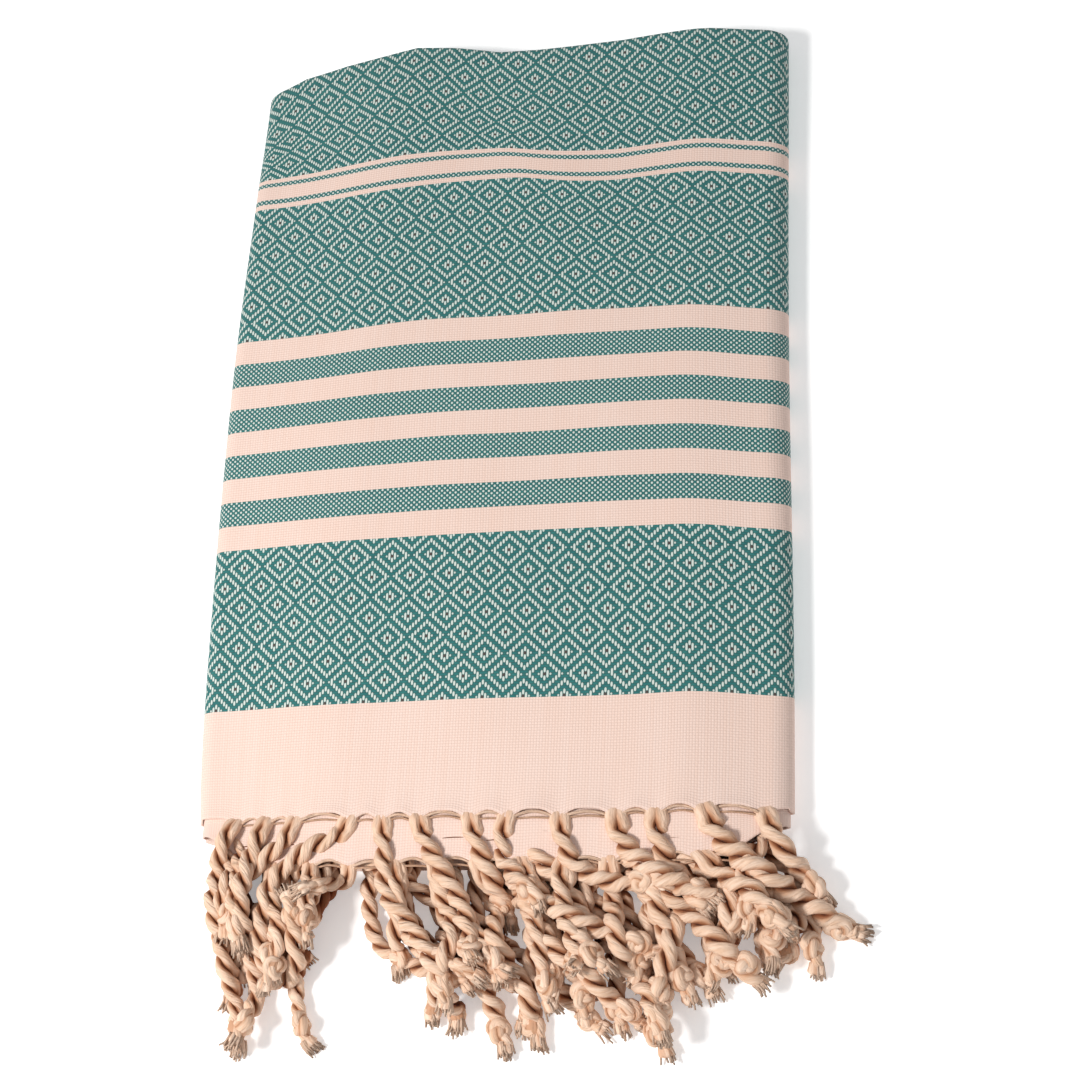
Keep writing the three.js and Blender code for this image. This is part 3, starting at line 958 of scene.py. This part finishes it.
SECOND_PLANS = (
    ((-98, -17), (-98, -30), (-97, -44), (-93, -56), (-94, -66)),
    ((-81.6, -17), (-80, -26), (-76, -38), (-72, -50), (-75, -60)),
    ((-65.2, -17), (-63, -30), (-66, -50), (-68, -66), (-64, -79)),
    ((-48.8, -17), (-50, -22), (-55, -26), (-60, -30)),
    ((-32.4, -17), (-29, -28), (-28, -44), (-30, -56)),
    ((-16, -17), (-12, -30), (-6, -48), (-12, -66), (-17, -74)),
    ((0.4, -17), (5, -30), (10, -50), (20, -66), (24, -80)),
    ((16.8, -17), (22, -27), (32, -38), (52, -48), (62, -51)),
    ((33.2, -17), (33, -30), (38, -48), (46, -64), (58, -74)),
    ((49.6, -17), (51, -34), (56, -54), (66, -70), (68, -78)),
    ((66, -17), (72, -30), (84, -44), (100, -60)),
    ((82.4, -17), (92, -25), (104, -34), (110, -42)),
    ((98.8, -17), (108, -28), (118, -40), (112, -52)),
)


GAP_AT = -52  # the fringe parts here
ROOM_BESIDE_GAP = 16  # degrees that the next cords lean away from it
LOWER_BEND = 42


def lower_plan(x, y, random):
    """A cord of the lower hems: a drawn length and bend, swept the way the fringe is at x."""
    if x < GAP_AT:
        heading = math.radians(-0.55 * (x + 82) + random.uniform(-8, 8))
        length = random.uniform(40, 60)
    else:
        beside_gap = ROOM_BESIDE_GAP * math.exp(-((x + 44) / 11) ** 2)
        heading = math.radians(30 + beside_gap - 0.1 * (x + 52) + random.uniform(-10, 10))
        length = random.uniform(60, 86) * (1 - 0.35 * smoothstep((x - 50) / 45))
    bend = math.radians(random.uniform(-LOWER_BEND, LOWER_BEND))
    points = [(x, y)]
    pieces = 5
    for i in range(pieces):
        turn = heading * min(1, (i + 0.4) / 1.5) + bend * math.sin(2 * math.pi * i / pieces)
        last = points[-1]
        run = length / pieces
        points.append((last[0] + run * math.sin(turn), last[1] - run * math.cos(turn)))
    return points


def interleaved(count):
    return [*range(0, count, 2), *range(1, count, 2)]


def surface_height(x, z):
    """The height of the relaxed towel at its near edge."""
    point = relax(np.array([[float(x), 0.0, float(z)]]))
    return float(point[0, 2])


def make_row(plans, root_height, seed, tuft, girth):
    """One set of tubes a cord, laid on what is there already."""
    made = {}
    for i in interleaved(len(plans)):
        random = np.random.default_rng(seed + i)
        (x, y), *others = plans[i]
        plan = spline([(x, y + ROOT_DEPTH), *others], STEP)
        plan = plan[:-int(CUT / STEP)]
        root = relax(np.array([[float(x), float(y), stack]]))[0]
        attached = 1 - smoothstep(np.arange(len(plan)) * STEP / ATTACHED)
        plan[:, 0] += (root[0] - x) * attached
        plan[:, 1] += (root[1] - y) * attached
        line = lay(pile, plan, root_height(x))
        line[:, 2] -= 1.5 * np.exp(-np.arange(len(line)) * STEP / 2.0)
        whole, knot_start, knot_end = add_knot(line, random)
        yarns = Yarns()
        stout = girth * (0.86 + 0.26 * smoothstep((x + 90) / 190))  # thicker to the right
        add_strands(yarns, whole, knot_start, knot_end, random, stout)
        add_tuft(yarns, whole, random, tuft)
        made[i] = yarns
    return [made[i] for i in range(len(plans))]


DEEP_SHADE = 0.88


def darken_deep(rows):
    """Deepens the colour of the cords where others lie over them, as less light gets there."""
    for yarns in rows:
        for i, (points, shade) in enumerate(zip(yarns.points, yarns.shade)):
            column = np.clip(((points[:, 0] - Pile.LEFT) / Pile.CELL).astype(int), 0, Pile.COLUMNS - 1)
            row = np.clip(((points[:, 1] - Pile.NEAR) / Pile.CELL).astype(int), 0, Pile.ROWS - 1)
            over = pile.height[column, row] - points[:, 2]
            yarns.shade[i] = shade * (1 - DEEP_SHADE * smoothstep((over - 2.0) / 9.0))


def add_hem_thread(yarns, start, end, y, arch, z, radius, shade, random):
    """A thread along the hem from one cord's root to the next."""
    t = np.linspace(0, 1, max(int((end - start) / 1.2), 4))
    drawn = np.stack([start + (end - start) * t, np.zeros_like(t), np.full_like(t, stack)], axis=1)
    line = relax(drawn)
    line[:, 1] += y + arch * np.sin(math.pi * t) + random.uniform(-0.3, 0.3)
    line[:, 2] = z + 0.5 * np.sin(math.pi * t)
    _, side, up = frames(line)
    size = np.full(len(line), radius)
    yarns.add(line, side, up, size, size, 6, np.full((len(line), 6), shade), random.uniform(0, 9))


def add_hem_threads(rows, roots, y, root_height):
    random = np.random.default_rng(int(100 - y))
    for i, yarns in enumerate(rows[:-1]):
        start, end = roots[i] + 1.5, roots[i + 1] - 1.5
        z = 0.5 * (root_height(start) + root_height(end))
        add_hem_thread(yarns, start, end, y - 1.0, random.uniform(1.0, 2.4), z - 0.2, 0.62, 0.9, random)
        add_hem_thread(yarns, start, end, y - 2.0, random.uniform(0.2, 1.8), z - 0.7, 0.42, 0.6, random)
        if random.uniform() < 0.8:
            lower = y + random.uniform(5.0, 11.0)
            if y < -HEM_STEP + 1:
                add_hem_thread(yarns, start, end, lower, 0.4, z + 0.35, 0.22, 0.2, random)


# ---- The towel and its fringe ------------------------------------------------------------------

cloth_paint = cloth_material()
cord_paint = cord_material()
cloth = make_cloth(cloth_paint)

pile = Pile()
pieces = []
LIP_HEIGHT = stack - PLY_PITCH - LIP_GAP
grid_y = Pile.NEAR + Pile.CELL * np.arange(pile.height.shape[1])


LOWER_CORDS = 26  # in each of the two lower rows
lower_random = np.random.default_rng(5)
lower_span = 2 * (half_width - outer_radius) + 4
lower_roots = [-lower_span / 2 + lower_span * (i + 0.5) / LOWER_CORDS for i in range(LOWER_CORDS)]
bottom_plans = [lower_plan(x, 0, lower_random) for x in lower_roots]
lower_plans = [lower_plan(x, 0, lower_random) for x in lower_roots]

bottom_rows = make_row(bottom_plans, lambda x: surface_height(x, 2.5), 100, 12, 0.95)
lower_rows = make_row(lower_plans, lambda x: surface_height(x, 8.5), 200, 16, 0.95)
pile.height[:, grid_y > -HEM_STEP] = np.maximum(pile.height[:, grid_y > -HEM_STEP], LIP_HEIGHT)
second_rows = make_row(SECOND_PLANS, lambda x: surface_height(x, LIP_HEIGHT), 300, 34, 0.98)
top_rows = make_row(TOP_PLANS, lambda x: surface_height(x, stack), 400, 40, 1.08)

add_hem_threads(top_rows, TOP_ROOTS, 0.0, lambda x: surface_height(x, stack))
add_hem_threads(second_rows, SECOND_ROOTS, -HEM_STEP, lambda x: surface_height(x, LIP_HEIGHT))

for row_of_yarns in (bottom_rows, lower_rows, second_rows, top_rows):
    darken_deep(row_of_yarns)

bottom = Yarns()
for yarns in bottom_rows:
    bottom.take_in(yarns)
piece = bottom.build("cords_bottom", cord_paint)
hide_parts("fringe_bottom")
pieces.append(piece)
for name, rows in (("lower", lower_rows), ("second", second_rows), ("top", top_rows)):
    for i, yarns in enumerate(rows):
        number = f"{i + 1:02d}"
        piece = yarns.build(f"cord_{name}_{number}", cord_paint)
        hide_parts(f"fringe_{name}_cord_{number}")
        pieces.append(piece)

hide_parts("cloth")
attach(cloth, "root")
for piece in pieces:
    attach(piece, "root")

bpy.context.view_layer.update()
